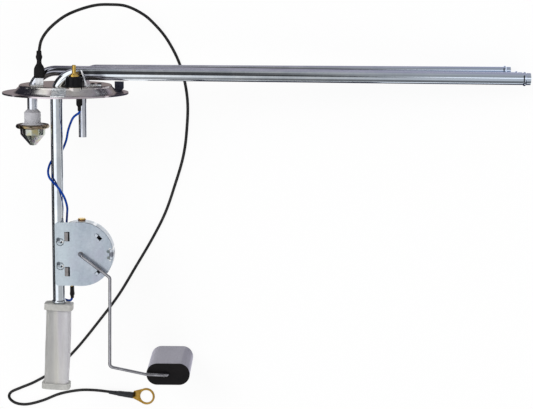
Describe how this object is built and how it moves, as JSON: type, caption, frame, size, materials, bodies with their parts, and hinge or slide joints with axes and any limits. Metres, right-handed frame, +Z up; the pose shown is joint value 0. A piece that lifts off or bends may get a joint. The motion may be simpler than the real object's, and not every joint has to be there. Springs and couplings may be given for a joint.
{
  "type": "fuel tank sending unit",
  "caption": "Fuel tank sending unit with domed flange, steel lines turned along the tank top, float-driven level sender, intake strainer, rollover valve and earth lead.",
  "frame": {"origin": "a point on the flange's seat face, half way between dome and rim, at the side that lies lowest, 5 mm above the bench", "axes": "+Z up from the bench, +X along the three lines towards their free ends, +Y as the flange's axis points, towards the tank's outside"},
  "size_m": [0.4336, 0.3436, 0.1007],
  "materials": {
    "flange_steel": "satin",
    "zinc_plate": "satin",
    "dark_steel": "satin",
    "bright_tube": "polished",
    "braze": "dull",
    "brass": "satin",
    "black_rubber": "matt",
    "black_plastic": "satin",
    "black_cord": "satin",
    "blue_cord": "satin",
    "card": "matt",
    "winding": "wound wire",
    "bush": "satin",
    "copper_alloy": "satin",
    "wire_steel": "satin",
    "float_foam": "smooth closed-cell foam",
    "natural_nylon": "translucent",
    "mesh_cloth": "fine woven mesh",
    "valve_plastic": "satin",
    "yellow_zinc": "iridescent yellow passivate"
  },
  "bodies": {
    "unit": {"flange": "flange_steel", "locating_key": "zinc_plate", "stop_tab": "dark_steel", "tube_bracket": "zinc_plate", "bracket_rivets": "zinc_plate", "feed_tube": "bright_tube", "vent_tube": "bright_tube", "return_tube": "bright_tube", "braze_rings": "braze", "ground_tab": "zinc_plate", "ground_boot": "black_rubber", "ground_lead": "black_cord", "lead_sleeve": "black_plastic", "ring_terminal": "brass", "terminal_insulator": "black_plastic", "signal_stud": "brass", "stud_seal": "black_rubber", "upper_boot": "black_rubber", "signal_lead": "blue_cord", "lower_boot": "black_rubber", "sender_plate": "zinc_plate", "sender_housing": "zinc_plate", "resistor_card": "card", "resistor_winding": "winding", "terminal_rivets": "brass", "rivet_insulators": "card", "pivot_bush": "bush", "strainer_cap": "natural_nylon", "strainer_ribs": "natural_nylon", "strainer_sock": "mesh_cloth", "strainer_base": "natural_nylon", "valve_bell": "valve_plastic", "valve_cup": "yellow_zinc"},
    "arm": {"float_arm": "wire_steel", "wiper": "copper_alloy", "float_clip": "zinc_plate"},
    "float_body": {"float": "float_foam"},
    "plunger": {"valve_plunger": "natural_nylon"}
  },
  "joints": [
    {"name": "float_arm_pivot", "type": "hinge", "parent": "unit", "child": "arm", "pos_m": [0.02209, -0.12752, 0.06331], "axis": [0.1325, -0.0227, 0.9909], "range_deg": [0, 82]},
    {"name": "float_swivel", "type": "hinge", "parent": "arm", "child": "float_body", "pos_m": [0.08677, -0.22466, 0.02418], "axis": [0.1325, -0.0227, 0.9909], "continuous": true},
    {"name": "valve_plunger_slide", "type": "slide", "parent": "unit", "child": "plunger", "axis": [0.003, 0.9997, 0.0225], "range_m": [0, 0.0025]}
  ]
}
